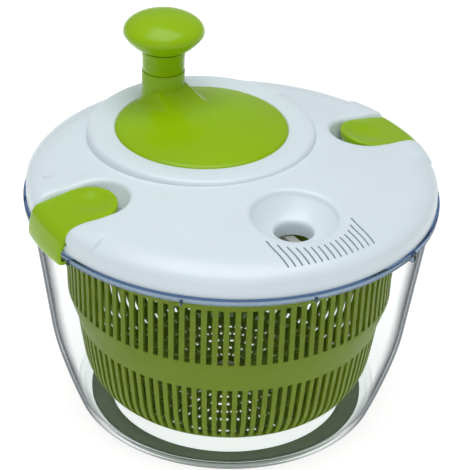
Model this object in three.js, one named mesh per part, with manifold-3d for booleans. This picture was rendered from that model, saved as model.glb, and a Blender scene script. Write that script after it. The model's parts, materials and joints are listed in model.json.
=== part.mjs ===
// Salad spinner: clear bowl, slotted basket, and a lid with a geared crank, a fill funnel
// and two rocker latches. Millimetres, +Z up, origin at the centre of the foot ring's underside,
// -Y towards the fill funnel, +X and -X towards the latches.

import * as THREE from 'three';
import { mergeVertices } from 'three/addons/utils/BufferGeometryUtils.js';
import Module from 'manifold-3d';

const wasm = await Module();
wasm.setup();

// ---- Driving dimensions -------------------------------------------------------------

const GAP = 0.3;                    // clearance between pieces that rest on each other
const ROUND = 40;                   // facets of a large round piece
const SMALL_ROUND = 16;             // facets of a small round piece

const RIM_Z = 140;                  // underside of the bowl's rim flange
const RIM_HEIGHT = 4;
const RIM_R = 125.65;
const BOWL_TOP_R = 122.2;           // outer wall just under the flange
const BOWL_TAPER = 0.148;           // wall slope, radius per height
const BOWL_WALL = 2.2;
const BOWL_CORNER_Z = 8;            // wall ends here and the bottom corner starts
const BOWL_CURVE_Z = 57;            // below this the wall curves inwards
const BOWL_CURVE_IN = 7.9;
const BOWL_BASE_R = 87;
const BOWL_BASE_Z = 1.2;
const BOWL_FLOOR_Z = 4;

const FOOT_R_IN = 73;
const FOOT_R_OUT = 85;
const FOOT_HEIGHT = 2.3;

const PIVOT_R = 3;
const PIVOT_BOSS_R = 7;
const PIVOT_BOSS_Z = 8.3;
const PIVOT_BOTTOM_Z = 4.9;
const PIVOT_TOP_Z = 14.2;

const BASKET_WALL = 1.8;
const BASKET_FLOOR_Z = 10.6;
const BASKET_FLOOR_R = 58;
const BASKET_LOW_R = 89.5;          // top of the rounded bottom corner
const BASKET_LOW_Z = 36;
const BASKET_STEP_LOW_R = 94;       // sloped band between the two slotted walls
const BASKET_STEP_LOW_Z = 64;
const BASKET_STEP_HIGH_R = 99.5;
const BASKET_STEP_HIGH_Z = 80;
const BASKET_TOP_R = 101.3;
const BASKET_RIM_R = 105;
const BASKET_RIM_Z = 139.3;
const BASKET_RIM_THICK = 2.8;
const BASKET_HUB_R = 8.5;
const BASKET_HUB_TOP_Z = 17;
const BASKET_SLOTS = 24;
const BASKET_SLOT_WIDTH = 12.6;
const BUSH_R = 6;

const LID_R = 122;
const LID_BOTTOM_Z = 144.3;
const LID_WALL = 2.2;
const SHOULDER_Z = 151.14;          // where the lid's upright edge turns into its shoulder
const SHOULDER_RISE = 8.35;
const SHOULDER_RUN = 20.34;
const DOME_R = LID_R - SHOULDER_RUN;
const DOME_RISE = 6.03;
const DOME_TOP_Z = SHOULDER_Z + SHOULDER_RISE + DOME_RISE;
const PAD_HALF_WIDTH = 41;          // fuller shoulder on each side of a latch
const PAD_POWER = 3.2;
const SPIGOT_R = 118.4;
const SPIGOT_Z = 136;

const CRANK_Y = 38.5;               // crank axis, behind the lid's centre
const PLATEAU_R = 68.2;
const PLATEAU_Z = 167.5;
const WELL_R = 54.2;
const WELL_FLOOR_Z = 163;
const WELL_UNDER_Z = WELL_FLOOR_Z - LID_WALL;

const FUNNEL_Y = -72.1;
const FUNNEL_R = 26.9;
const FUNNEL_HOLE_R = 13.7;
const FUNNEL_RIM_Z = 162.4;
const FUNNEL_THROAT_Z = 148;
const FUNNEL_END_Z = 144;

const SLIT_COUNT = 15;
const SLIT_PITCH = 4.06;
const SLIT_WIDTH = 1.2;
const SLIT_INNER_R = 32.5;          // slits start this far from the funnel's axis
const SLIT_OUTER_R = 115.8;         // and end this far from the lid's axis

const DISC_R = 53.4;
const DISC_BOTTOM_Z = 164.3;
const DISC_EDGE_Z = 167.4;
const DISC_TOP_Z = 171.3;          // where the rounded edge begins
const DISC_CROWN_Z = 176.6;         // top of the shallow dome, on the crank axis
const KNOB_ORBIT = 40;              // knob axis to crank axis
const KNOB_ANGLE = Math.PI / 2 + THREE.MathUtils.degToRad(8);
const STUB_R = 13.3;
const STUB_TOP_Z = 192;
const SLEEVE_R = 13;
const KNOB_R = 25;
const KNOB_NECK_Z = 206;
const KNOB_WIDE_Z = 218;
const KNOB_TOP_Z = 229;
const KNOB_PIN_R = 4;

const GEAR_TEETH = 48;
const PINION_TEETH = 12;
const GEAR_MODULE = 2 * CRANK_Y / (GEAR_TEETH + PINION_TEETH);
const GEAR_BACKLASH = 0.22;
const GEAR_Z = 153.5;
const GEAR_THICK = 5;
const POST_R = 2.6;
const POST_BOTTOM_Z = 139.9;
const HEX_R = 6.2;

const COVER_Z = 149.6;
const COVER_WALL = 2;
const COVER_BIG_R = 35.5;
const COVER_SMALL_R = 13;
const COVER_SCREW_R = 39.5;         // screws to crank axis
const COVER_SCREW_ANGLES = [15, 165, 215, 325];

const SPIDER_Z = 139.6;
const SPIDER_THICK = 3.6;
const SPIDER_ARM_WIDTH = 5.6;
const SPIDER_HUB_R = 10;
const SPIDER_HUB_TOP_Z = 148.9;
const SPIDER_RING_R = 95;
const SPIDER_REACH = 104;
const SPIDER_FIRST_ARM = THREE.MathUtils.degToRad(-87);
const SPIDER_ARMS = 3;
const LUG_WIDTH = 4;
const LUG_CLEARANCE = 0.6;

const LATCH_HALF_WIDTH = 20.1;
const LATCH_ROUND_X = 100;          // centre of the latch's round inner end
const LATCH_EDGE_X = 124.9;
const LATCH_EDGE_Z = 155.6;
const LATCH_SLOPE = 0.155;
const LATCH_THICK = 3;
const LATCH_PIVOT_X = 117;
const LATCH_PIVOT_Z = 152.5;
const LATCH_PIN_R = 1.5;
const LATCH_PIN_HALF = 22.6;
const LATCH_BARREL_R = 3.2;
const HOOK_DROP = 1.6;                // hook's top face below the bowl's rim flange
const POCKET_HALF_WIDTH = 20.6;
const POCKET_ROUND_X = 91;
const POCKET_FLOOR_Z = 148.5;
const SPRING_X = 92;
const SPRING_R = 3.2;
const SPRING_WIRE_R = 0.45;
const SPRING_TURNS = 4.5;

// ---- Materials ----------------------------------------------------------------------

const material = (color, roughness, metalness = 0) =>
  new THREE.MeshStandardMaterial({ color, roughness, metalness });

const CLEAR = '#dfe9ee';
const GREEN = '#8fb71c';
const WHITE = '#dfe8ec';
const GREY = '#9aa09c';
const STEEL = '#b9bcc0';
const NATURAL = '#e9e6da';

// ---- Solids -------------------------------------------------------------------------

// A closed geometry as a manifold solid: only positions, shared vertices merged, faces outwards.
function solid(geometry) {
  const bare = geometry.index ? geometry.toNonIndexed() : geometry.clone();
  bare.deleteAttribute('normal');
  bare.deleteAttribute('uv');
  const merged = mergeVertices(bare, 1e-4);
  const at = merged.attributes.position;
  const corner = [new THREE.Vector3(), new THREE.Vector3(), new THREE.Vector3()];
  const triangles = [];
  let volume = 0;
  for (let i = 0; i < merged.index.count; i += 3) {
    const ids = [0, 1, 2].map((k) => merged.index.getX(i + k));
    if (ids[0] === ids[1] || ids[1] === ids[2] || ids[2] === ids[0]) continue;
    ids.forEach((id, k) => corner[k].fromBufferAttribute(at, id));
    volume += corner[0].dot(corner[1].clone().cross(corner[2]));
    triangles.push(ids);
  }
  const triVerts = new Uint32Array(triangles.flatMap((t) => (volume < 0 ? [t[0], t[2], t[1]] : t)));
  const vertProperties = new Float32Array(at.array);
  return new wasm.Manifold(new wasm.Mesh({ numProp: 3, vertProperties, triVerts }));
}

const join = (first, ...others) => others.reduce((sum, other) => sum.add(other), first);
const cut = (first, ...others) => others.reduce((rest, other) => rest.subtract(other), first);
const keep = (first, second) => first.intersect(second);

function geometryOf(body) {
  const mesh = body.getMesh();
  const geometry = new THREE.BufferGeometry();
  const positions = new Float32Array((mesh.vertProperties.length / mesh.numProp) * 3);
  for (let i = 0; i < positions.length / 3; i += 1) {
    for (let k = 0; k < 3; k += 1) positions[3 * i + k] = mesh.vertProperties[mesh.numProp * i + k];
  }
  geometry.setAttribute('position', new THREE.BufferAttribute(positions, 3));
  geometry.setIndex(new THREE.BufferAttribute(new Uint32Array(mesh.triVerts), 1));
  geometry.computeVertexNormals();
  return geometry;
}

// Turned solid from a profile of [radius, height]. A profile off the axis closes on itself.
function turned(profile, facets = SMALL_ROUND, at = [0, 0]) {
  const points = profile.map(([r, z]) => new THREE.Vector2(r, z));
  const onAxis = profile[0][0] === 0 && profile[profile.length - 1][0] === 0;
  if (!onAxis) points.push(points[0].clone());
  const geometry = new THREE.LatheGeometry(points, facets);
  geometry.rotateX(Math.PI / 2);
  geometry.translate(at[0], at[1], 0);
  return solid(geometry);
}

const cylinder = (r, z0, z1, facets = SMALL_ROUND, at = [0, 0]) =>
  turned([[0, z0], [r, z0], [r, z1], [0, z1]], facets, at);

const tube = (rIn, rOut, z0, z1, facets = SMALL_ROUND, at = [0, 0]) =>
  turned([[rIn, z0], [rOut, z0], [rOut, z1], [rIn, z1]], facets, at);

function block([x0, x1], [y0, y1], [z0, z1], turn = 0) {
  const geometry = new THREE.BoxGeometry(x1 - x0, y1 - y0, z1 - z0);
  geometry.translate((x0 + x1) / 2, (y0 + y1) / 2, (z0 + z1) / 2);
  geometry.rotateZ(turn);
  return solid(geometry);
}

// Upright prism over a plan outline.
function upright(shape, z0, z1) {
  const geometry = new THREE.ExtrudeGeometry(shape, { depth: z1 - z0, bevelEnabled: false, curveSegments: 8 });
  geometry.translate(0, 0, z0);
  return solid(geometry);
}

// Prism along Y over a side outline of [x, z].
function sideways(outline, y0, y1) {
  const shape = new THREE.Shape(outline.map(([x, z]) => new THREE.Vector2(x, z)));
  const geometry = new THREE.ExtrudeGeometry(shape, { depth: y1 - y0, bevelEnabled: false });
  geometry.rotateX(Math.PI / 2);
  geometry.translate(0, y1, 0);
  return solid(geometry);
}

function rodAlongY(r, x, z, y0, y1, facets = SMALL_ROUND) {
  const geometry = new THREE.CylinderGeometry(r, r, y1 - y0, facets);
  geometry.translate(x, (y0 + y1) / 2, z);
  return solid(geometry);
}

// Points of a quarter ellipse-like corner from [r0, z0] to [r1, z1] pulled towards [rc, zc].
function corner([r0, z0], [rc, zc], [r1, z1], steps) {
  const curve = new THREE.QuadraticBezierCurve(
    new THREE.Vector2(r0, z0), new THREE.Vector2(rc, zc), new THREE.Vector2(r1, z1));
  return curve.getPoints(steps).map((p) => [p.x, p.y]);
}

function mesh(name, body, finish) {
  const piece = new THREE.Mesh(geometryOf(body), finish);
  piece.name = name;
  return piece;
}

// ---- Bowl ---------------------------------------------------------------------------

function bowlRadius(z) {
  const low = Math.max(0, (BOWL_CURVE_Z - z) / (BOWL_CURVE_Z - BOWL_CORNER_Z));
  return BOWL_TOP_R - BOWL_TAPER * (RIM_Z - z) - BOWL_CURVE_IN * low ** 1.5;
}

function buildBowl() {
  const heights = [14, 23, 35, BOWL_CURVE_Z, RIM_Z];
  const outerCorner = corner(
    [BOWL_BASE_R, BOWL_BASE_Z], [92.2, BOWL_BASE_Z], [bowlRadius(BOWL_CORNER_Z), BOWL_CORNER_Z], 3);
  const innerCorner = corner(
    [bowlRadius(10) - BOWL_WALL, 10], [91, BOWL_FLOOR_Z], [85.5, BOWL_FLOOR_Z], 3);
  const rimTop = RIM_Z + RIM_HEIGHT;
  const profile = [
    [0, BOWL_BASE_Z],
    [FOOT_R_IN - GAP, BOWL_BASE_Z],
    [FOOT_R_IN - GAP, FOOT_HEIGHT + GAP],
    [FOOT_R_OUT + GAP, FOOT_HEIGHT + GAP],
    [FOOT_R_OUT + GAP, BOWL_BASE_Z],
    ...outerCorner,
    ...heights.map((z) => [bowlRadius(z), z]),
    [RIM_R, RIM_Z],
    [RIM_R, rimTop],
    [BOWL_TOP_R - BOWL_WALL, rimTop],
    ...heights.slice().reverse().map((z) => [bowlRadius(z) - BOWL_WALL, z]),
    ...innerCorner,
    [PIVOT_BOSS_R, BOWL_FLOOR_Z],
    [PIVOT_BOSS_R, PIVOT_BOSS_Z],
    [PIVOT_R + GAP, PIVOT_BOSS_Z],
    [PIVOT_R + GAP, PIVOT_BOTTOM_Z - GAP],
    [0, PIVOT_BOTTOM_Z - GAP],
  ];
  return turned(profile, ROUND);
}

const buildFootRing = () => tube(FOOT_R_IN, FOOT_R_OUT, 0, FOOT_HEIGHT, ROUND);

function buildPivotPin() {
  const dome = corner([PIVOT_R, PIVOT_TOP_Z - 2], [PIVOT_R, PIVOT_TOP_Z], [0, PIVOT_TOP_Z], 3);
  return turned([[0, PIVOT_BOTTOM_Z], [PIVOT_R, PIVOT_BOTTOM_Z], ...dome]);
}

// ---- Basket -------------------------------------------------------------------------

function basketShell() {
  const outerCorner = corner(
    [BASKET_FLOOR_R, BASKET_FLOOR_Z], [84, BASKET_FLOOR_Z], [BASKET_LOW_R, BASKET_LOW_Z], 4);
  const innerCorner = corner(
    [BASKET_LOW_R - BASKET_WALL, BASKET_LOW_Z], [82.6, BASKET_FLOOR_Z + BASKET_WALL],
    [BASKET_FLOOR_R, BASKET_FLOOR_Z + BASKET_WALL], 4);
  const rimUnder = BASKET_RIM_Z - BASKET_RIM_THICK;
  return turned([
    [BUSH_R + GAP, BASKET_FLOOR_Z],
    ...outerCorner,
    [BASKET_STEP_LOW_R, BASKET_STEP_LOW_Z],
    [BASKET_STEP_HIGH_R, BASKET_STEP_HIGH_Z],
    [BASKET_TOP_R, rimUnder],
    [BASKET_RIM_R, rimUnder],
    [BASKET_RIM_R, BASKET_RIM_Z],
    [BASKET_TOP_R - BASKET_WALL, BASKET_RIM_Z],
    [BASKET_STEP_HIGH_R - BASKET_WALL, BASKET_STEP_HIGH_Z],
    [BASKET_STEP_LOW_R - BASKET_WALL, BASKET_STEP_LOW_Z],
    ...innerCorner,
    [BASKET_HUB_R, BASKET_FLOOR_Z + BASKET_WALL],
    [BASKET_HUB_R, BASKET_HUB_TOP_Z],
    [BUSH_R + GAP, BASKET_HUB_TOP_Z],
  ], ROUND);
}

// Upright openings in one band of the wall, all round.
function wallSlots(rIn, rOut, z0, z1) {
  const half = BASKET_SLOT_WIDTH / 2;
  const slots = Array.from({ length: BASKET_SLOTS }, (_, i) =>
    block([rIn, rOut], [-half, half], [z0, z1], (i + 0.5) * 2 * Math.PI / BASKET_SLOTS));
  return join(...slots);
}

function floorHoles() {
  const holes = [];
  for (const [radius, count, size] of [[26, 6, 9], [47, 12, 9]]) {
    for (let i = 0; i < count; i += 1) {
      holes.push(block([radius - size / 2, radius + size / 2], [-size / 2, size / 2],
        [BASKET_FLOOR_Z - 2, BASKET_FLOOR_Z + 4], i * 2 * Math.PI / count));
    }
  }
  return join(...holes);
}

// Pairs of lugs on the rim: each pair takes one finger of the drive spider.
function rimLugs() {
  const offset = SPIDER_ARM_WIDTH / 2 + LUG_CLEARANCE;
  const lugs = [];
  for (let i = 0; i < SPIDER_ARMS; i += 1) {
    const turn = SPIDER_FIRST_ARM + i * 2 * Math.PI / SPIDER_ARMS;
    lugs.push(block([100.2, 104.4], [offset, offset + LUG_WIDTH], [138, 142.6], turn));
    lugs.push(block([100.2, 104.4], [-offset - LUG_WIDTH, -offset], [138, 142.6], turn));
  }
  return join(...lugs);
}

function buildBasket() {
  const slotted = cut(basketShell(), wallSlots(92, 108, 83, 120), wallSlots(80, 100, 24, 61), floorHoles());
  return join(slotted, rimLugs());
}

function buildBasketBush() {
  const flangeZ = PIVOT_BOSS_Z + GAP;
  const bore = PIVOT_R + GAP;
  return turned([
    [bore, flangeZ],
    [BASKET_HUB_R, flangeZ],
    [BASKET_HUB_R, BASKET_FLOOR_Z - GAP],
    [BUSH_R, BASKET_FLOOR_Z - GAP],
    [BUSH_R, BASKET_HUB_TOP_Z - 0.5],
    [0, BASKET_HUB_TOP_Z - 0.5],
    [0, PIVOT_TOP_Z + GAP],
    [bore, PIVOT_TOP_Z + GAP],
  ]);
}

// ---- Lid ----------------------------------------------------------------------------

// Solid under the lid's top surface. Power 2 is the round shoulder, more is fuller; inset hollows it.
function lidMass(power, inset, bottom, facets = ROUND) {
  const run = SHOULDER_RUN - inset;
  const rise = SHOULDER_RISE - inset;
  const profile = [[0, bottom], [LID_R - inset, bottom]];
  for (const turn of [0, 25, 55, 90]) {
    const a = THREE.MathUtils.degToRad(turn);
    const out = Math.cos(a) ** (2 / power);
    const up = Math.sin(a) ** (2 / power);
    profile.push([DOME_R + run * out, SHOULDER_Z + rise * up]);
  }
  for (const r of [68, 34, 0]) {
    profile.push([r, DOME_TOP_Z - DOME_RISE * (r / DOME_R) ** 2 - inset]);
  }
  return turned(profile, facets);
}

function pocketOutline(halfWidth, roundX) {
  const shape = new THREE.Shape();
  shape.moveTo(135, -halfWidth);
  shape.lineTo(135, halfWidth);
  shape.lineTo(roundX, halfWidth);
  shape.absarc(roundX, 0, halfWidth, Math.PI / 2, 3 * Math.PI / 2, false);
  return shape;
}

function mirroredPair(make) {
  return [false, true].map((left) => {
    const body = make();
    if (!left) return body;
    const geometry = geometryOf(body);
    geometry.rotateZ(Math.PI);
    return solid(geometry);
  });
}

function plateau() {
  const wellLip = [[PLATEAU_R - 1.8, PLATEAU_Z], [WELL_R, PLATEAU_Z]];
  return turned([
    [PLATEAU_R, SHOULDER_Z + 5],
    [PLATEAU_R, PLATEAU_Z - 1.8],
    ...wellLip,
    [WELL_R, WELL_FLOOR_Z],
    [6.2, WELL_FLOOR_Z],
    [6.2, WELL_UNDER_Z],
    [WELL_R + LID_WALL, WELL_UNDER_Z],
    [WELL_R + LID_WALL, PLATEAU_Z - LID_WALL],
    [PLATEAU_R - LID_WALL, PLATEAU_Z - LID_WALL],
    [PLATEAU_R - LID_WALL, SHOULDER_Z + 5],
  ], ROUND, [0, CRANK_Y]);
}

function funnelWall() {
  return turned([
    [0, FUNNEL_END_Z],
    [FUNNEL_HOLE_R + LID_WALL, FUNNEL_END_Z],
    [FUNNEL_HOLE_R + LID_WALL, FUNNEL_THROAT_Z - 1],
    [FUNNEL_R + LID_WALL, FUNNEL_RIM_Z - 1.5],
    [FUNNEL_R + LID_WALL, FUNNEL_RIM_Z + 3],
    [0, FUNNEL_RIM_Z + 3],
  ], 28, [0, FUNNEL_Y]);
}

function funnelVoid() {
  return turned([
    [0, FUNNEL_END_Z - 10],
    [FUNNEL_HOLE_R, FUNNEL_END_Z - 10],
    [FUNNEL_HOLE_R, FUNNEL_THROAT_Z],
    [FUNNEL_R, FUNNEL_RIM_Z],
    [FUNNEL_R, FUNNEL_RIM_Z + 10],
    [0, FUNNEL_RIM_Z + 10],
  ], 28, [0, FUNNEL_Y]);
}

function drainSlits() {
  const slits = [];
  for (let i = 0; i < SLIT_COUNT; i += 1) {
    const x = (i - (SLIT_COUNT - 1) / 2) * SLIT_PITCH;
    const near = FUNNEL_Y - Math.sqrt(SLIT_INNER_R ** 2 - x ** 2);
    const far = -Math.sqrt(SLIT_OUTER_R ** 2 - x ** 2);
    slits.push(block([x - SLIT_WIDTH / 2, x + SLIT_WIDTH / 2], [far, near], [SHOULDER_Z - 5, DOME_TOP_Z]));
  }
  return join(...slits);
}

const screwPlaces = COVER_SCREW_ANGLES.map((degrees) => {
  const a = THREE.MathUtils.degToRad(degrees);
  return [COVER_SCREW_R * Math.cos(a), CRANK_Y + COVER_SCREW_R * Math.sin(a)];
});

function buildLid() {
  const pads = mirroredPair(() => keep(lidMass(PAD_POWER, 0, LID_BOTTOM_Z),
    block([60, 130], [-PAD_HALF_WIDTH, PAD_HALF_WIDTH], [LID_BOTTOM_Z, DOME_TOP_Z])));
  const outside = join(lidMass(2, 0, LID_BOTTOM_Z), ...pads);
  const hollow = lidMass(2, LID_WALL, LID_BOTTOM_Z - 10);
  const underCrank = cylinder(PLATEAU_R - 1.2, LID_BOTTOM_Z - 10, DOME_TOP_Z + 10, ROUND, [0, CRANK_Y]);
  const spigot = tube(SPIGOT_R - 2, SPIGOT_R, SPIGOT_Z, SHOULDER_Z + 3.8, ROUND);
  const tubs = mirroredPair(() =>
    upright(pocketOutline(POCKET_HALF_WIDTH + LID_WALL, POCKET_ROUND_X), POCKET_FLOOR_Z - LID_WALL, DOME_TOP_Z));
  const bosses = mirroredPair(() => join(
    block([111.5, 121.4], [20, 25], [POCKET_FLOOR_Z - LID_WALL, DOME_TOP_Z]),
    block([111.5, 121.4], [-25, -20], [POCKET_FLOOR_Z - LID_WALL, DOME_TOP_Z])));
  const pockets = mirroredPair(() =>
    upright(pocketOutline(POCKET_HALF_WIDTH, POCKET_ROUND_X), POCKET_FLOOR_Z, DOME_TOP_Z + 10));
  const pinHoles = mirroredPair(() =>
    rodAlongY(LATCH_PIN_R + GAP, LATCH_PIVOT_X, LATCH_PIVOT_Z,
    -LATCH_PIN_HALF - GAP, LATCH_PIN_HALF + GAP, 16));

  const added = keep(join(...tubs, ...bosses, funnelWall()), outside);
  let lid = join(cut(outside, hollow, underCrank), spigot, added, plateau());
  lid = cut(lid, funnelVoid(), drainSlits(), ...pockets, ...pinHoles);

  const post = tube(1.5, POST_R, POST_BOTTOM_Z, 155, SMALL_ROUND);
  const postTop = cylinder(POST_R, 155, WELL_UNDER_Z + 1);
  const screwBosses = screwPlaces.map((at) => join(
    tube(1.8, 3.6, COVER_Z + 3 + GAP, 159.6, 16, at), cylinder(3.6, 159.6, WELL_UNDER_Z + 1, 16, at)));
  return join(lid, post, postTop, ...screwBosses);
}

// ---- Gears and cover (crank axis or lid axis is each one's own origin) ---------------

function gearShape(teeth, boreR, turn = 0) {
  const pitchR = (teeth * GEAR_MODULE) / 2;
  const baseR = pitchR * Math.cos(THREE.MathUtils.degToRad(20));
  const rootR = pitchR - 1.2 * GEAR_MODULE;
  const tipR = pitchR + 0.92 * GEAR_MODULE;
  const involute = (r) => {
    const a = Math.acos(Math.min(1, baseR / Math.max(r, baseR)));
    return Math.tan(a) - a;
  };
  const half = (r) => (Math.PI / 2 / teeth - GEAR_BACKLASH / 2 / pitchR) + involute(pitchR) - involute(r);
  const radii = teeth > 20 ? [rootR, tipR] : [rootR, (rootR + pitchR) / 2, pitchR, tipR];
  const outline = [];
  for (let i = 0; i < teeth; i += 1) {
    const centre = turn + (i * 2 * Math.PI) / teeth;
    for (const r of radii) outline.push([r, centre - half(r)]);
    for (const r of radii.slice().reverse()) outline.push([r, centre + half(r)]);
  }
  const shape = new THREE.Shape(outline.map(([r, a]) => new THREE.Vector2(r * Math.cos(a), r * Math.sin(a))));
  const bore = new THREE.Path();
  bore.absarc(0, 0, boreR, 0, 2 * Math.PI, true);
  shape.holes.push(bore);
  return shape;
}

// The large gear's bore takes the crank hub; a web under it takes the screw.
function buildCrankGear() {
  return join(
    upright(gearShape(GEAR_TEETH, 4), GEAR_Z, GEAR_Z + GEAR_THICK),
    tube(1.8, 4.4, GEAR_Z, GEAR_Z + 1.6));
}

function hexPrism(r, z0, z1) {
  const shape = new THREE.Shape(Array.from({ length: 6 }, (_, i) =>
    new THREE.Vector2(r * Math.cos(i * Math.PI / 3), r * Math.sin(i * Math.PI / 3))));
  return upright(shape, z0, z1);
}

// The pinion's collar runs in the cover; its hexagonal end drives the spider.
function buildDrivePinion() {
  const bore = POST_R + GAP;
  return cut(
    join(
      upright(gearShape(PINION_TEETH, 1, Math.PI / PINION_TEETH), GEAR_Z, GEAR_Z + GEAR_THICK),
      cylinder(HEX_R, COVER_Z - GAP, GEAR_Z + 0.5),
      hexPrism(HEX_R, SPIDER_Z + 2 + GAP, COVER_Z)),
    cylinder(bore, SPIDER_Z, GEAR_Z + GEAR_THICK + 1));
}

function buildGearCover() {
  const big = [0, CRANK_Y];
  const floorTop = COVER_Z + COVER_WALL;
  const outside = join(
    cylinder(COVER_BIG_R, COVER_Z, WELL_UNDER_Z - GAP, 32, big),
    cylinder(COVER_SMALL_R, COVER_Z, WELL_UNDER_Z - GAP),
    ...screwPlaces.map((at) => cylinder(5, COVER_Z, COVER_Z + 3, 16, at)));
  const inside = join(
    cylinder(COVER_BIG_R - COVER_WALL, floorTop, WELL_UNDER_Z, 32, big),
    cylinder(COVER_SMALL_R - COVER_WALL, floorTop, WELL_UNDER_Z),
    cylinder(HEX_R + 0.8, COVER_Z - 1, WELL_UNDER_Z),
    ...screwPlaces.map((at) => cylinder(1.8, COVER_Z - 1, COVER_Z + 4, 16, at)));
  return cut(outside, inside);
}

// Pan-head screw pointing up, its head's seat at z.
function buildScrew(headR, headHeight, shankR, length, z) {
  const crown = corner([headR * 0.6, z - headHeight], [headR, z - headHeight], [headR, z - headHeight * 0.4], 2);
  return turned([[0, z - headHeight], ...crown, [headR, z], [shankR, z], [shankR, z + length], [0, z + length]], 12);
}

// ---- Drive spider -------------------------------------------------------------------

function buildDriveSpider() {
  const top = SPIDER_Z + SPIDER_THICK;
  const half = SPIDER_ARM_WIDTH / 2;
  const arms = Array.from({ length: SPIDER_ARMS }, (_, i) =>
    block([0, SPIDER_REACH], [-half, half], [SPIDER_Z, top],
      SPIDER_FIRST_ARM + i * 2 * Math.PI / SPIDER_ARMS));
  const whole = join(
    cylinder(SPIDER_HUB_R, SPIDER_Z, SPIDER_HUB_TOP_Z),
    ...arms,
    tube(SPIDER_RING_R - 4, SPIDER_RING_R, SPIDER_Z, top - 0.8, ROUND));
  return cut(whole,
    hexPrism(HEX_R + 0.4, SPIDER_Z + 2, SPIDER_HUB_TOP_Z + 1),
    cylinder(POST_R + GAP, SPIDER_Z - 1, SPIDER_Z + 3));
}

// ---- Crank (crank axis is the origin) -----------------------------------------------

const knobPlace = [KNOB_ORBIT * Math.cos(KNOB_ANGLE), KNOB_ORBIT * Math.sin(KNOB_ANGLE)];

function buildCrankDisc() {
  const domeR = DISC_R - 4;
  const domeFoot = DISC_TOP_Z - 0.9;
  const edge = corner([DISC_R, DISC_EDGE_Z], [DISC_R, DISC_TOP_Z - 1.2], [domeR, domeFoot], 3);
  const dome = [0.75, 0.5, 0.25, 0].map((share) => [
    share * domeR,
    DISC_CROWN_Z - (DISC_CROWN_Z - domeFoot) * share ** 2,
  ]);
  const plate = turned([[0, DISC_BOTTOM_Z], [DISC_R, DISC_BOTTOM_Z], ...edge, ...dome], ROUND);
  const hub = join(
    cylinder(5.7, WELL_UNDER_Z - 1.5, DISC_BOTTOM_Z + 1),
    cylinder(3.7, GEAR_Z + 1.9, DISC_BOTTOM_Z + 1));
  const stub = cylinder(STUB_R, DISC_BOTTOM_Z + 1, STUB_TOP_Z, SMALL_ROUND, knobPlace);

  // Ramp that stiffens the stub, falling towards the crank axis.
  const ramp = new THREE.Shape([
    new THREE.Vector2(KNOB_ORBIT, DISC_BOTTOM_Z + 1),
    new THREE.Vector2(KNOB_ORBIT, STUB_TOP_Z - 8),
    new THREE.Vector2(KNOB_ORBIT - STUB_R, STUB_TOP_Z - 9),
    new THREE.Vector2(KNOB_ORBIT - 20, DISC_CROWN_Z + 2),
    new THREE.Vector2(KNOB_ORBIT - 31, DISC_CROWN_Z - 0.6),
    new THREE.Vector2(KNOB_ORBIT - 36, DISC_BOTTOM_Z + 1),
  ]);
  const geometry = new THREE.ExtrudeGeometry(ramp, { depth: 2 * STUB_R - 2, bevelEnabled: false });
  geometry.rotateX(Math.PI / 2);
  geometry.translate(0, STUB_R - 1, 0);
  geometry.rotateZ(KNOB_ANGLE);
  const screwBore = cylinder(1.5, GEAR_Z, DISC_TOP_Z - 6);
  const pinBore = cylinder(KNOB_PIN_R + GAP, 175.7, STUB_TOP_Z + 1, SMALL_ROUND, knobPlace);
  return cut(join(plate, hub, stub, solid(geometry)), screwBore, pinBore);
}

const buildCrankWasher = () => tube(6.6, 13, WELL_FLOOR_Z + GAP, DISC_BOTTOM_Z - GAP);

// ---- Knob (knob axis is the origin) -------------------------------------------------

function buildKnobGrip() {
  const bell = corner([SLEEVE_R, KNOB_NECK_Z], [KNOB_R, KNOB_NECK_Z + 3], [KNOB_R, KNOB_WIDE_Z], 4);
  return turned([
    [KNOB_PIN_R + GAP, STUB_TOP_Z + GAP],
    [SLEEVE_R, STUB_TOP_Z + GAP],
    ...bell,
    [KNOB_R - 2.4, KNOB_WIDE_Z],
    [SLEEVE_R - 1, KNOB_NECK_Z + 4],
    [KNOB_PIN_R + GAP, KNOB_NECK_Z + 4],
  ], 24);
}

function buildKnobCap() {
  const outer = corner([KNOB_R, KNOB_WIDE_Z + GAP], [KNOB_R - 1, KNOB_TOP_Z], [0, KNOB_TOP_Z], 4);
  return turned([
    [KNOB_R - 2.4, KNOB_WIDE_Z + GAP],
    ...outer,
    [0, KNOB_TOP_Z - 2.2],
    [KNOB_R / 2, KNOB_TOP_Z - 3.6],
  ], 24);
}

function buildKnobPin() {
  const seat = KNOB_NECK_Z + 4 + GAP;
  return turned([[0, 176], [KNOB_PIN_R, 176], [KNOB_PIN_R, seat], [8, seat], [8, seat + 2.5], [0, seat + 2.5]]);
}

// ---- Latches (built for the +X side) -------------------------------------------------

const latchTop = (x) => LATCH_EDGE_Z + (LATCH_EDGE_X - x) * LATCH_SLOPE;

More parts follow.
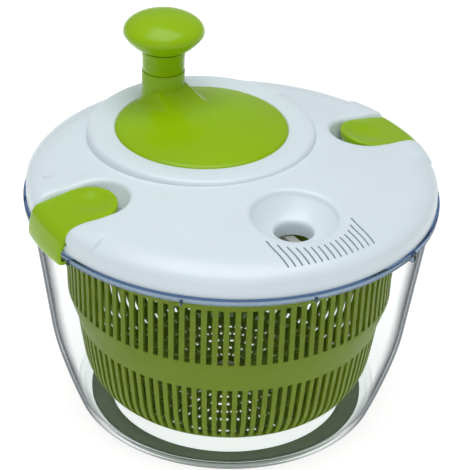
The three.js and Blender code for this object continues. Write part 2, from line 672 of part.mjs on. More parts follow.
function buildLatch() {
  const inner = LATCH_ROUND_X - LATCH_HALF_WIDTH - 1;
  const plate = sideways([
    [inner, latchTop(inner) - LATCH_THICK],
    [LATCH_EDGE_X - 1.5, latchTop(LATCH_EDGE_X - 1.5) - LATCH_THICK],
    [LATCH_EDGE_X + 2, LATCH_EDGE_Z - 2],
    [LATCH_EDGE_X + 2, latchTop(LATCH_EDGE_X + 2)],
    [inner, latchTop(inner)],
  ], -30, 30);
  const roundEdge = cylinder(LATCH_EDGE_X, LATCH_EDGE_Z - 30, LATCH_EDGE_Z + 30, ROUND);
  const skirt = turned([
    [123.3, RIM_Z - 3.8],
    [127.4, RIM_Z - 3.8],
    [128, RIM_Z - 0.5],
    [127.9, RIM_Z + 3],
    [126.6, RIM_Z + 10],
    [LATCH_EDGE_X, LATCH_EDGE_Z],
    [122.3, LATCH_EDGE_Z - 1],
    [122.7, RIM_Z + 10.5],
    [RIM_R + 0.45, RIM_Z + 4.8],
    [RIM_R + 0.45, RIM_Z - HOOK_DROP],
    [123.3, RIM_Z - HOOK_DROP],
  ], 72);
  const shape = upright(pocketOutline(LATCH_HALF_WIDTH, LATCH_ROUND_X), RIM_Z - 10, LATCH_EDGE_Z + 20);
  const barrel = rodAlongY(LATCH_BARREL_R, LATCH_PIVOT_X, LATCH_PIVOT_Z, -LATCH_HALF_WIDTH + 0.6,
    LATCH_HALF_WIDTH - 0.6, 16);
  const pinBore = rodAlongY(LATCH_PIN_R + GAP, LATCH_PIVOT_X, LATCH_PIVOT_Z, -30, 30, 16);
  const thumb = new THREE.SphereGeometry(36, 24, 36);
  thumb.rotateX(Math.PI / 2);
  thumb.translate(SPRING_X, 0, latchTop(SPRING_X) + 34.6);
  const body = join(keep(join(keep(plate, roundEdge), skirt), shape), barrel);
  return cut(body, pinBore, solid(thumb));
}

const buildLatchPin = () =>
  rodAlongY(LATCH_PIN_R, LATCH_PIVOT_X, LATCH_PIVOT_Z, -LATCH_PIN_HALF, LATCH_PIN_HALF, 16);

class Helix extends THREE.Curve {
  getPoint(t, target = new THREE.Vector3()) {
    const a = t * SPRING_TURNS * 2 * Math.PI;
    const low = POCKET_FLOOR_Z + GAP + SPRING_WIRE_R;
    const high = latchTop(SPRING_X + SPRING_R) - LATCH_THICK - GAP - SPRING_WIRE_R - 0.2;
    return target.set(SPRING_X + SPRING_R * Math.cos(a), SPRING_R * Math.sin(a), low + (high - low) * t);
  }
}

function buildLatchSpring() {
  const section = new THREE.Shape(Array.from({ length: 6 }, (_, i) =>
    new THREE.Vector2(SPRING_WIRE_R * Math.cos(i * Math.PI / 3), SPRING_WIRE_R * Math.sin(i * Math.PI / 3))));
  return solid(new THREE.ExtrudeGeometry(section, {
    steps: Math.round(SPRING_TURNS * 8), extrudePath: new Helix(), bevelEnabled: false,
  }));
}

// ---- Assembly -----------------------------------------------------------------------

const spinner = new THREE.Group();
spinner.name = 'salad_spinner';

spinner.add(
  mesh('bowl', buildBowl(), material(CLEAR, 0.1)),
  mesh('foot_ring', buildFootRing(), material(GREY, 0.7)),
  mesh('pivot_pin', buildPivotPin(), material(STEEL, 0.3, 1)),
  mesh('basket', buildBasket(), material(GREEN, 0.45)),
  mesh('basket_bush', buildBasketBush(), material(NATURAL, 0.5)),
  mesh('lid', buildLid(), material(WHITE, 0.35)),
  mesh('gear_cover', buildGearCover(), material(WHITE, 0.5)),
  mesh('drive_pinion', buildDrivePinion(), material(NATURAL, 0.5)),
  mesh('drive_spider', buildDriveSpider(), material(GREY, 0.5)),
  mesh('spider_screw', buildScrew(5.5, 1.7, 1.2, 12, SPIDER_Z - GAP), material(STEEL, 0.3, 1)),
);

const coverScrew = geometryOf(buildScrew(3, 1.8, 1.5, 9, COVER_Z - GAP));
screwPlaces.forEach(([x, y], i) => {
  const screw = new THREE.Mesh(coverScrew, material(STEEL, 0.3, 1));
  screw.name = `cover_screw_${i + 1}`;
  screw.position.set(x, y, 0);
  spinner.add(screw);
});

const crank = new THREE.Group();
crank.position.set(0, CRANK_Y, 0);
crank.add(
  mesh('crank_disc', buildCrankDisc(), material(GREEN, 0.3)),
  mesh('crank_gear', buildCrankGear(), material(NATURAL, 0.5)),
  mesh('crank_washer', buildCrankWasher(), material(NATURAL, 0.4)),
  mesh('crank_screw', buildScrew(3.4, 1.2, 1.2, 9, GEAR_Z - 0.2), material(STEEL, 0.3, 1)),
);
spinner.add(crank);

const knob = new THREE.Group();
knob.position.set(knobPlace[0], knobPlace[1], 0);
knob.add(
  mesh('knob_grip', buildKnobGrip(), material(GREEN, 0.3)),
  mesh('knob_cap', buildKnobCap(), material(GREEN, 0.25)),
  mesh('knob_pin', buildKnobPin(), material(STEEL, 0.3, 1)),
);
crank.add(knob);

for (const [side, turn] of [['right', 0], ['left', Math.PI]]) {
  const latch = new THREE.Group();
  latch.rotation.z = turn;
  latch.add(
    mesh(`latch_${side}`, buildLatch(), material(GREEN, 0.3)),
    mesh(`latch_pin_${side}`, buildLatchPin(), material(STEEL, 0.3, 1)),
    mesh(`latch_spring_${side}`, buildLatchSpring(), material(STEEL, 0.3, 1)),
  );
  spinner.add(latch);
}

export default spinner;
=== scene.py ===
# Salad spinner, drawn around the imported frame. Lengths are in millimetres until make() scales them.
import json
import math

import bmesh
import bpy
from mathutils import Matrix, Vector, geometry


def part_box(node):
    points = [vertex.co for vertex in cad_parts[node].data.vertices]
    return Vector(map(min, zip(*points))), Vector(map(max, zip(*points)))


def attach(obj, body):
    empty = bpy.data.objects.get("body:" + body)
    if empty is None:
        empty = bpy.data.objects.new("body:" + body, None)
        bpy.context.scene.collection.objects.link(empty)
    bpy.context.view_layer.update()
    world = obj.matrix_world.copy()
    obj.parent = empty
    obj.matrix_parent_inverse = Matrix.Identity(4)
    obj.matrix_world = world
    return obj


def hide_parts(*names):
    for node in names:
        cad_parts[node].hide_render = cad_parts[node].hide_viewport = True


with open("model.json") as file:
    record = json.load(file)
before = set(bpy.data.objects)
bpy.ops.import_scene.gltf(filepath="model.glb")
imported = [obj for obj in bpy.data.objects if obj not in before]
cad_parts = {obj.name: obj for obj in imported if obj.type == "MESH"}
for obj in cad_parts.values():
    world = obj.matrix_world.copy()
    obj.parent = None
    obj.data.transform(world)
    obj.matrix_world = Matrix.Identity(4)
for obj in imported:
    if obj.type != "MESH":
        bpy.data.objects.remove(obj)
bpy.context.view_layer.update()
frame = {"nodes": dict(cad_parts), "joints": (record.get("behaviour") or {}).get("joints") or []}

MM = 0.001


# ---- Sizes from the frame ------------------------------------------------------------

def box(node):
    """Lowest and highest corner of a CAD node, in millimetres."""
    low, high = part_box(node)
    return Vector(low) / MM, Vector(high) / MM


def joint_place(name):
    """A joint's point, in millimetres."""
    found = next(j for j in frame["joints"] if j["name"] == name)
    return Vector(found["pos_m"]) / MM


BOWL_LOW, BOWL_HIGH = box("bowl")
BASKET_LOW, BASKET_HIGH = box("basket")
LID_HIGH = box("lid")[1]
DISC_HIGH = box("crank_disc")[1]
CAP_LOW, CAP_HIGH = box("knob_cap")
GRIP_LOW = box("knob_grip")[0]
LATCH_HIGH = box("latch_right")[1]
FOOT_HIGH = box("foot_ring")[1]
CRANK_Y = joint_place("crank_spin").y
KNOB_AT = joint_place("knob_spin").xy
PIVOT_X = joint_place("latch_right").x
PIVOT_Z = joint_place("latch_right").z

RIM_R = BOWL_HIGH.x
RIM_TOP = BOWL_HIGH.z
RIM_UNDER = RIM_TOP - 4
BOWL_R = 122.2
BOWL_TAPER = 0.148
BOWL_WALL = 2.2
BOWL_BASE = BOWL_LOW.z
BOWL_FLOOR = 4.0
CURVE_TOP = 57.0
CURVE_LOW = 8.0
CURVE_IN = 7.9
FOOT_INNER_R = 73.0
FOOT_GROOVE_Z = 2.6
RIB_COUNT = 10
RIB_STEP_DEG = 36
FIRST_RIB_DEG = -61

LID_R = LID_HIGH.x
LID_EDGE_Z = RIM_TOP + 0.12
LID_WALL = 2.2
SHOULDER_Z = 151.14
SHOULDER_RISE = 8.35
SHOULDER_RUN = 20.34
DOME_R = LID_R - SHOULDER_RUN
DOME_RISE = 6.03
DOME_TOP = SHOULDER_Z + SHOULDER_RISE + DOME_RISE
PAD_POWER = 3.2
PAD_ANGLE = 19.6
PAD_STEP = 0.55

PLATEAU_R = 68.2
PLATEAU_Z = LID_HIGH.z
WELL_R = 54.4
WELL_FLOOR = 163.0
FUNNEL_Y = -72.1
FUNNEL_R = 26.9
FUNNEL_HOLE_R = 13.5
FUNNEL_THROAT_Z = 151.5
FUNNEL_END_Z = 144.0
SLIT_COUNT = 15
SLIT_PITCH = 4.06
SLIT_WIDTH = 1.15
SLIT_INNER_R = 32.5
SLIT_OUTER_R = 115.8
POCKET_HALF = 20.6
POCKET_ROUND_X = 91.0
POCKET_FLOOR = 148.5

DISC_R = DISC_HIGH.x
DISC_BOTTOM = 164.3
CROWN_Z = 176.6
DISC_DOME_R = 49.4
DOME_FOOT_Z = 170.4
RAMP_LENGTH = 25.0
STUB_R = 13.3
STUB_TOP = DISC_HIGH.z
KNOB_ORBIT = math.hypot(KNOB_AT.x, KNOB_AT.y - CRANK_Y)
SLEEVE_R = 13.0
KNOB_R = (CAP_HIGH.x - CAP_LOW.x) / 2
KNOB_NECK = 206.0
KNOB_WIDE = 218.0

LATCH_HALF = LATCH_HIGH.y
LATCH_ROUND_X = 100.0
LATCH_EDGE_X = 124.9
LATCH_EDGE_Z = 155.6
LATCH_SLOPE = 0.155
LATCH_THICK = 3.0
LATCH_TIP_DEPTH = 4.7
LATCH_ROLL = 1.3
LATCH_BARREL_R = 3.2


# ---- Mesh helpers --------------------------------------------------------------------

def make(name, verts, faces, sharp=40.0):
    """A mesh object from millimetre vertices, smooth except where faces meet at more than sharp degrees."""
    mesh = bpy.data.meshes.new(name)
    mesh.from_pydata([tuple(c * MM for c in v) for v in verts], [], faces)
    bm = bmesh.new()
    bm.from_mesh(mesh)
    bmesh.ops.remove_doubles(bm, verts=bm.verts, dist=1e-6)
    bmesh.ops.recalc_face_normals(bm, faces=bm.faces)
    bm.to_mesh(mesh)
    bm.free()
    mesh.shade_smooth()
    mesh.set_sharp_from_angle(angle=math.radians(sharp))
    obj = bpy.data.objects.new(name, mesh)
    bpy.context.scene.collection.objects.link(obj)
    return obj


def apply_modifiers(obj, sharp=40.0):
    """Turns the modifiers into plain mesh."""
    graph = bpy.context.evaluated_depsgraph_get()
    mesh = bpy.data.meshes.new_from_object(obj.evaluated_get(graph))
    obj.modifiers.clear()
    obj.data = mesh
    mesh.shade_smooth()
    mesh.set_sharp_from_angle(angle=math.radians(sharp))


def joined(name, parts):
    """Several objects as one, under a new name."""
    target = parts[0]
    bm = bmesh.new()
    for part in parts:
        bm.from_mesh(part.data)
    bm.to_mesh(target.data)
    bm.free()
    for part in parts[1:]:
        bpy.data.objects.remove(part)
    target.name = name
    target.data.name = name
    return target


def turned(name, profile, steps=128, at=(0.0, 0.0), closed=False, sharp=40.0):
    """A turned piece. The profile is [(radius, z)]; a closed one joins its end to its start."""
    verts, faces = [], []
    for i in range(steps):
        a = 2 * math.pi * i / steps
        for r, z in profile:
            verts.append((at[0] + r * math.cos(a), at[1] + r * math.sin(a), z))
    count = len(profile)
    last = count if closed else count - 1
    for i in range(steps):
        n = (i + 1) % steps
        for k in range(last):
            m = (k + 1) % count
            faces.append((i * count + k, n * count + k, n * count + m, i * count + m))
    return make(name, verts, faces, sharp)


def arc(centre, radius, start, end, steps):
    """Points of a circular arc in a profile, angles in degrees from +radius towards +z."""
    points = []
    for i in range(steps + 1):
        a = math.radians(start + (end - start) * i / steps)
        points.append((centre[0] + radius * math.cos(a), centre[1] + radius * math.sin(a)))
    return points


def bend(p0, p1, p2, steps):
    """Points of a quadratic curve from p0 to p2 pulled towards p1."""
    points = []
    for i in range(steps + 1):
        t = i / steps
        points.append(tuple((1 - t) ** 2 * a + 2 * t * (1 - t) * b + t * t * c
                            for a, b, c in zip(p0, p1, p2)))
    return points


def mix(a, b, t):
    return a + (b - a) * t


def smooth_step(t):
    t = min(1.0, max(0.0, t))
    return t * t * (3 - 2 * t)


def inside(point, loop):
    """True if a 2-D point lies inside a closed loop."""
    x, y = point
    odd = False
    for (x0, y0), (x1, y1) in zip(loop, loop[1:] + loop[:1]):
        if (y0 > y) != (y1 > y) and x < (x1 - x0) * (y - y0) / (y1 - y0) + x0:
            odd = not odd
    return odd


def gap_to(point, loops):
    """Shortest distance from a point to the corners of the loops."""
    return min(math.dist(point, q) for loop in loops for q in loop)


def sheet(outer, holes, points, lines=(), spare=0.8):
    """Triangles between an outer loop and hole loops, through inner points and along open lines.
    Returns the 2-D vertices and the triangles; each loop's corners are among the vertices, unchanged."""
    loops = [outer] + list(holes)
    kept = [p for p in points if gap_to(p, loops + list(lines)) > spare]
    coords, edges = [], []
    for loop in loops:
        start = len(coords)
        coords += loop
        edges += [(start + i, start + (i + 1) % len(loop)) for i in range(len(loop))]
    for line in lines:
        start = len(coords)
        coords += line
        edges += [(start + i, start + i + 1) for i in range(len(line) - 1)]
    coords += kept
    verts, _, triangles, *_ = geometry.delaunay_2d_cdt([Vector(p) for p in coords], edges, [], 0, 1e-5)
    flat = [(v.x, v.y) for v in verts]
    chosen = []
    for tri in triangles:
        centre = (sum(flat[i][0] for i in tri) / 3, sum(flat[i][1] for i in tri) / 3)
        if inside(centre, outer) and not any(inside(centre, hole) for hole in holes):
            chosen.append(tuple(tri))
    return flat, chosen


class Patch:
    """Vertices and faces that grow ring by ring."""

    def __init__(self):
        self.verts = []
        self.faces = []

    def add_sheet(self, flat, triangles, place):
        start = len(self.verts)
        self.verts += [place(x, y) for x, y in flat]
        self.faces += [tuple(start + i for i in tri) for tri in triangles]

    def add_rings(self, rings, closed=True, cap=False):
        """Bands between rings of 3-D points that have the same count."""
        start = len(self.verts)
        count = len(rings[0])
        for ring in rings:
            self.verts += ring
        for k in range(len(rings) - 1):
            for i in range(count if closed else count - 1):
                n = (i + 1) % count
                a, b = start + k * count, start + (k + 1) * count
                self.faces.append((a + i, a + n, b + n, b + i))
        if cap:
            end = start + (len(rings) - 1) * count
            self.faces.append(tuple(range(end, end + count)))


def circle(centre, radius, steps):
    return [(centre[0] + radius * math.cos(2 * math.pi * i / steps),
             centre[1] + radius * math.sin(2 * math.pi * i / steps)) for i in range(steps)]


# ---- Materials -----------------------------------------------------------------------

def material(name, colour, roughness, **sockets):
    """A Principled material with its fixed values on the shader's own sockets."""
    mat = bpy.data.materials.new(name)
    mat.use_nodes = True
    shader = mat.node_tree.nodes["Principled BSDF"]
    shader.inputs["Base Color"].default_value = (*colour, 1.0)
    shader.inputs["Roughness"].default_value = roughness
    for socket, value in sockets.items():
        shader.inputs[socket.replace("_", " ")].default_value = value
    return mat


def node(mat, kind, **inputs):
    """A node with some of its inputs set."""
    made = mat.node_tree.nodes.new(kind)
    for name, value in inputs.items():
        made.inputs[name].default_value = value
    return made


def link(mat, source, target):
    mat.node_tree.links.new(source, target)


def noise(mat, scale, detail=3.0, roughness=0.5):
    """Noise in the object's own space, scale in waves per metre."""
    place = mat.node_tree.nodes.new("ShaderNodeTexCoord")
    made = node(mat, "ShaderNodeTexNoise", Scale=scale, Detail=detail, Roughness=roughness)
    link(mat, place.outputs["Object"], made.inputs["Vector"])
    return made.outputs["Fac"]


def ramp(mat, value, low, high, stops=(0.3, 0.7)):
    """A colour or grey ramp over a value."""
    made = mat.node_tree.nodes.new("ShaderNodeValToRGB")
    for element, position, colour in zip(made.color_ramp.elements, stops, (low, high)):
        element.position = position
        element.color = (*colour, 1.0) if isinstance(colour, tuple) else (colour, colour, colour, 1.0)
    link(mat, value, made.inputs["Fac"])
    return made.outputs["Color"]


def moulded(name, colour, roughness, grain=0.012, grain_scale=900.0, drift=0.04, wear=0.06, **sockets):
    """Moulded plastic: faint colour drift, roughness that varies, and a fine skin grain."""
    mat = material(name, colour, roughness, **sockets)
    shader = mat.node_tree.nodes["Principled BSDF"]
    darker = tuple(c * (1 - drift) for c in colour)
    lighter = tuple(min(1.0, c * (1 + drift)) for c in colour)
    link(mat, ramp(mat, noise(mat, 22.0, 2.0), darker, lighter), shader.inputs["Base Color"])
    uneven = ramp(mat, noise(mat, 60.0, 4.0), roughness - wear, roughness + wear)
    link(mat, uneven, shader.inputs["Roughness"])
    if grain > 0:
        bump = node(mat, "ShaderNodeBump", Strength=grain, Distance=0.0004)
        link(mat, noise(mat, grain_scale, 2.0), bump.inputs["Height"])
        link(mat, bump.outputs["Normal"], shader.inputs["Normal"])
    return mat


GREEN = (0.272, 0.478, 0.002)
WHITE = (0.71, 0.81, 0.86)

green_gloss = moulded("green_gloss", GREEN, 0.24, grain=0.0, wear=0.03, Specular_IOR_Level=0.28)
# The basket's green is darker than the crank's: painted shade, standing in for the shade under the lid and
# the dimming through the clear bowl.
green_satin_painted_shade = moulded("green_satin_painted_shade", (0.165, 0.235, 0.004), 0.5, grain=0.02, Specular_IOR_Level=0.3)
white_gloss = moulded("white_gloss", WHITE, 0.3, grain=0.0, drift=0.012, wear=0.03)
grey_satin = moulded("grey_satin", (0.33, 0.34, 0.30), 0.45, grain=0.03)
natural = moulded("natural_plastic", (0.70, 0.67, 0.56), 0.45, grain=0.02)
rubber = moulded("foot_rubber", (0.52, 0.56, 0.52), 0.62, grain=0.08, grain_scale=1500.0)


def turned_steel():
    """Stainless steel with fine turning marks round the upright axis."""
    mat = material("turned_steel", (0.58, 0.58, 0.6), 0.28, Metallic=1.0)
    shader = mat.node_tree.nodes["Principled BSDF"]
    place = mat.node_tree.nodes.new("ShaderNodeTexCoord")
    wave = node(mat, "ShaderNodeTexWave", Scale=900.0, Distortion=1.5)
    wave.bands_direction = "Z"
    link(mat, place.outputs["Object"], wave.inputs["Vector"])
    link(mat, ramp(mat, wave.outputs["Fac"], 0.2, 0.38), shader.inputs["Roughness"])
    tone = ramp(mat, noise(mat, 300.0), (0.52, 0.52, 0.54), (0.64, 0.64, 0.66))
    link(mat, tone, shader.inputs["Base Color"])
    return mat


steel = turned_steel()


def clear_plastic(name, colour, painted_edge_colour, stops, bend_index, roughness=0.015):
    """Clear moulded plastic whose colour darkens towards a grazing view: painted dark edges, standing in for
    the dark reflections the wall shows near its silhouette. bend_index is set for the look.
    """
    mat = material(name, colour, roughness, IOR=bend_index, Transmission_Weight=1.0)
    shader = mat.node_tree.nodes["Principled BSDF"]
    weight = node(mat, "ShaderNodeLayerWeight", Blend=0.5)
    # Painted shade: the base colour goes dark where the wall is seen edge on.
    painted_edge_darkening = ramp(mat, weight.outputs["Facing"], colour, painted_edge_colour, stops)
    link(mat, painted_edge_darkening, shader.inputs["Base Color"])
    link(mat, ramp(mat, noise(mat, 40.0, 2.0), roughness, roughness + 0.02), shader.inputs["Roughness"])
    return mat


clear_wall = clear_plastic("clear_wall", (0.97, 0.99, 0.99), (0.008, 0.018, 0.03), (0.68, 0.88), 1.02)
# Rim material: a darker blue-grey copy of the clear plastic, painted shade on the flange and the ribs under
# it.
clear_rim_painted_shade = clear_plastic("clear_rim_painted_shade", (0.30, 0.38, 0.50), (0.02, 0.04, 0.10), (0.3, 0.95), 1.12)
clear_corner = clear_plastic("clear_corner", (0.90, 0.95, 0.93), (0.05, 0.06, 0.07), (0.4, 0.95), 1.05)
# Edge material: a dark navy copy of the clear plastic for the strip under the lid's edge, a painted shadow
# line in the gap.
clear_painted_shadow_line = clear_plastic("clear_painted_shadow_line", (0.03, 0.065, 0.19), (0.012, 0.03, 0.09), (0.3, 1.0), 1.15)


def finish_piece(obj, body, slot_name, mat, *nodes):
    """Gives a piece its material and its body, and hides the CAD nodes it stands for. slot_name is not used.
    """
    obj.data.materials.clear()
    obj.data.materials.append(mat)
    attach(obj, body)
    if nodes:
        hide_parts(*nodes)
    return obj


def repaint(name, mat):
    """A new material on a CAD node that keeps its shape."""
    obj = frame["nodes"][name]
    for i in range(len(obj.material_slots)):
        obj.material_slots[i].link = "OBJECT"
        obj.material_slots[i].material = mat


# ---- Bowl ----------------------------------------------------------------------------

def bowl_radius(z):
    low = max(0.0, (CURVE_TOP - z) / (CURVE_TOP - CURVE_LOW))
    return BOWL_R - BOWL_TAPER * (RIM_UNDER - z) - CURVE_IN * low ** 1.5


def bowl_wall_profile():
    """Outside of the bowl from the axis up to the rim, then down the inside to the pivot boss."""
    heights = [CURVE_LOW + (RIM_UNDER - CURVE_LOW) * i / 24 for i in range(25)]
    outside = [(0, BOWL_BASE), (FOOT_INNER_R - 0.3, BOWL_BASE), (FOOT_INNER_R - 0.3, FOOT_GROOVE_Z),
               (FOOT_HIGH.x + 0.3, FOOT_GROOVE_Z), (FOOT_HIGH.x + 0.3, BOWL_BASE)]
    outside += bend((87, BOWL_BASE), (92.2, BOWL_BASE), (bowl_radius(CURVE_LOW), CURVE_LOW), 8)
    outside += [(bowl_radius(z), z) for z in heights[1:-1]]
    outside += arc((bowl_radius(RIM_UNDER) + 1.2, RIM_UNDER - 1.2), 1.2, 180, 90, 4)
    rim = arc((RIM_R - 0.8, RIM_UNDER + 0.8), 0.8, -90, 0, 4)
    rim += arc((RIM_R - 0.8, RIM_TOP - 0.8), 0.8, 0, 90, 4)
    rim += arc((BOWL_R - BOWL_WALL + 0.7, RIM_TOP - 0.7), 0.7, 90, 180, 4)
    inside_wall = [(bowl_radius(z) - BOWL_WALL, z) for z in reversed(heights[2:-1])]
    corner = bend((bowl_radius(15) - BOWL_WALL, 15), (91.5, BOWL_FLOOR), (82, BOWL_FLOOR), 8)
    boss = [(9, BOWL_FLOOR), (7.4, BOWL_FLOOR + 0.6), (7, BOWL_FLOOR + 2), (7, 7.9), (6.6, 8.3), (3.3, 8.3),
            (3.3, 4.6), (0, 4.6)]
    return outside, rim, inside_wall + corner + boss


def build_bowl():
    outside, rim, inside_part = bowl_wall_profile()
    bowl = turned("bowl_clear", outside + rim + inside_part, steps=192)
    finish_piece(bowl, "base", "clear_bowl", clear_wall, "bowl")
    bowl.data.materials.append(clear_rim_painted_shade)
    bowl.data.materials.append(clear_corner)
    bowl.data.materials.append(clear_painted_shadow_line)
    for face in bowl.data.polygons:
        out, height = face.center.xy.length / MM, face.center.z / MM
        # Index 3: the strip just under the lid's edge, painted as a dark shadow line.
        if height > RIM_TOP - 0.9 and out > LID_R - 1.2:
            face.material_index = 3
        # Index 1: the flange, given the rim copy with painted shade.
        elif height > RIM_UNDER - 0.1 and out > BOWL_R - BOWL_WALL:
            face.material_index = 1
        elif height < BOWL_FLOOR + 3 and out > FOOT_HIGH.x:
            face.material_index = 2
    return bowl


def rim_block(angle, width, depth, drop):
    """A small clear block under the rim's flange. Width runs round the rim, depth inwards, drop below."""
    rings = []
    for z, tuck in ((RIM_UNDER - drop, 0.5), (RIM_UNDER - drop + 0.5, 0.0), (RIM_UNDER + 0.5, 0.0)):
        half = width / 2 - tuck
        r_out, r_in = RIM_R - 0.25 - tuck, RIM_R - depth
        ring = []
        for r, side in ((r_out - 0.6, -half), (r_out, -half * 0.5), (r_out, half * 0.5),
                        (r_out - 0.6, half), (r_in, half), (r_in, -half)):
            ring.append((r * math.cos(angle) - side * math.sin(angle),
                         r * math.sin(angle) + side * math.cos(angle), z))
        rings.append(ring)
    patch = Patch()
    patch.add_rings(rings, cap=True)
    patch.faces.append(tuple(range(len(rings[0]))))
    return make("rim_block", patch.verts, patch.faces)


def build_rim_blocks():
    """Ribs round the underside of the rim, two of them, opposite each other, larger."""
    blocks = []
    for i in range(RIB_COUNT):
        angle = math.radians(FIRST_RIB_DEG - RIB_STEP_DEG * i)
        lug = i in (0, RIB_COUNT // 2)
        if abs(math.sin(angle)) > 0.15:
            blocks.append(rim_block(angle, 4.6 if lug else 1.6, 3.4, 4.2 if lug else 2.6))
    finish_piece(joined("rim_blocks", blocks), "base", "clear_bowl", clear_rim_painted_shade, "bowl")


def build_foot():
    ring = turned("foot_ring_soft", [
        (FOOT_INNER_R, 0.5), (FOOT_INNER_R + 0.5, 0), (FOOT_HIGH.x - 0.5, 0), (FOOT_HIGH.x, 0.5),
        (FOOT_HIGH.x, FOOT_HIGH.z), (FOOT_INNER_R, FOOT_HIGH.z)], steps=144, closed=True)
    return finish_piece(ring, "base", "foot_rubber", rubber, "foot_ring")


# ---- Basket --------------------------------------------------------------------------

BASKET_PITCHES = 96
BASKET_WALL = 1.8


def basket_outline():
    """Outer surface from the rim to the floor: (radius, z, kind). Kind 'slot' starts a slotted stretch."""
    floor = BASKET_LOW.z if BASKET_LOW.z > 9 else 10.6
    rows = [(BASKET_HIGH.x, 139.3, "solid"), (BASKET_HIGH.x, 136.6, "solid"), (101.6, 136.5, "solid"),
            (101.2, 130, "solid"), (100.9, 121, "slot"), (100.3, 102, "slot"), (99.7, 83, "solid"),
            (99.5, 80, "solid"), (94.0, 64, "solid"), (93.5, 61, "slot"), (91.2, 46, "slot")]
    for t in (0, 0.1, 0.2, 0.3, 0.4, 0.5, 0.58, 0.69, 0.79, 0.91, 1):
        r = (1 - t) ** 2 * 89.5 + 2 * t * (1 - t) * 84 + t * t * 58
        kind = "slot" if t < 0.35 or t in (0.58, 0.79) else "solid"
        rows.append((r, floor + (1 - t) ** 2 * (36 - floor), kind))
    return rows, floor


def build_basket():
    rows, floor = basket_outline()
    pitch = 2 * math.pi / BASKET_PITCHES
    slot_share = 0.5
    columns = []
    for i in range(BASKET_PITCHES):
        columns += [i * pitch, (i + slot_share / 2) * pitch, (i + slot_share) * pitch,
                    (i + (1 + slot_share) / 2) * pitch]
    verts, faces = [], []
    for r, z, _ in rows:
        verts += [(r * math.cos(a), r * math.sin(a), z) for a in columns]
    count = len(columns)
    for k in range(len(rows) - 1):
        open_row = rows[k][2] == "slot"
        for i in range(count):
            if open_row and i % 4 in (0, 1):
                continue
            n = (i + 1) % count
            faces.append((k * count + i, (k + 1) * count + i, (k + 1) * count + n, k * count + n))

    # Floor: rings of small oblong holes between the corner and the hub.
    hole_rings = [(54.6, 50.2), (46.4, 42.0), (38.2, 33.8), (30.0, 25.6), (21.8, 17.4)]
    bounds = [58.0]
    for outer, inner in hole_rings:
        bounds += [outer, inner]
    bounds += [14.0, 8.5]
    start = (len(rows) - 1) * count
    for j, radius in enumerate(bounds[1:], 1):
        offset = len(verts)
        verts += [(radius * math.cos(a), radius * math.sin(a), floor) for a in columns]
        holes = j % 2 == 0 and j <= 2 * len(hole_rings)
        step = 4 if radius > 36 else 8
        for i in range(count):
            if holes and i % step in ((0, 1) if step == 4 else (0, 1, 2, 3)):
                continue
            n = (i + 1) % count
            faces.append((start + i, offset + i, offset + n, start + n))
        start = offset
    hub = [(8.5, 16.4), (8.0, 17.0), (6.3, 17.0)]
    for radius, z in hub:
        offset = len(verts)
        verts += [(radius * math.cos(a), radius * math.sin(a), z) for a in columns]
        for i in range(count):
            n = (i + 1) % count
            faces.append((start + i, offset + i, offset + n, start + n))
        start = offset
    basket = make("basket_slotted", verts, faces, sharp=30)
    thick = basket.modifiers.new("wall", "SOLIDIFY")
    thick.thickness = BASKET_WALL * MM
    thick.offset = -1.0
    apply_modifiers(basket, 30)
    return finish_piece(basket, "basket", "green_plastic", green_satin_painted_shade, "basket")


# ---- Lid -----------------------------------------------------------------------------

SHOULDER_SPAN = 30.0
WALL_SPAN = SHOULDER_Z - LID_EDGE_Z
SHEET_R = DOME_R + SHOULDER_SPAN + WALL_SPAN


def pad_power(angle):
    """2 on the plain shoulder, PAD_POWER beside a latch, with a short step between."""
    off = abs((math.degrees(angle) + 90) % 180 - 90)
    return mix(PAD_POWER, 2.0, smooth_step((off - PAD_ANGLE) / PAD_STEP))


def lid_point(x, y):
    """3-D place of a point of the lid's unrolled top sheet."""
    rho = math.hypot(x, y)
    angle = math.atan2(y, x)
    if rho <= DOME_R:
        return (x, y, DOME_TOP - DOME_RISE * (rho / DOME_R) ** 2)
    if rho <= DOME_R + SHOULDER_SPAN:
        turn = (1 - (rho - DOME_R) / SHOULDER_SPAN) * math.pi / 2
        power = pad_power(angle)
        r = DOME_R + SHOULDER_RUN * max(0.0, math.cos(turn)) ** (2 / power)
        z = SHOULDER_Z + SHOULDER_RISE * max(0.0, math.sin(turn)) ** (2 / power)
    else:
        r = LID_R
        z = SHOULDER_Z - (rho - DOME_R - SHOULDER_SPAN)
    return (r * math.cos(angle), r * math.sin(angle), z)


def lid_height(x, y):
    """Height of the lid's top surface over a plan point."""
    return lid_point(*unrolled(x, y))[2]


def unrolled(x, y):
    """The unrolled sheet's point for a plan point of the lid."""
    r = math.hypot(x, y)
    if r <= DOME_R:
        return (x, y)
    angle = math.atan2(y, x)
    low, high = DOME_R, DOME_R + SHOULDER_SPAN
    for _ in range(30):
        middle = (low + high) / 2
        px, py, _z = lid_point(middle * math.cos(angle), middle * math.sin(angle))
        if math.hypot(px, py) < r:
            low = middle
        else:
            high = middle
    return (low * math.cos(angle), low * math.sin(angle))


def pocket_line(half, round_x, side, outer_x):
    """Open plan outline of a latch pocket, from its outer end round the inner end and back."""
    straight = [outer_x + (round_x - outer_x) * i / 14 for i in range(14)]
    points = [(x, -half) for x in straight]
    for i in range(25):
        a = -math.pi / 2 - math.pi * i / 24
        points.append((round_x + half * math.cos(a), half * math.sin(a)))
    points += [(x, half) for x in reversed(straight)]
    if side < 0:
        points = [(-x, -y) for x, y in points]
    return points


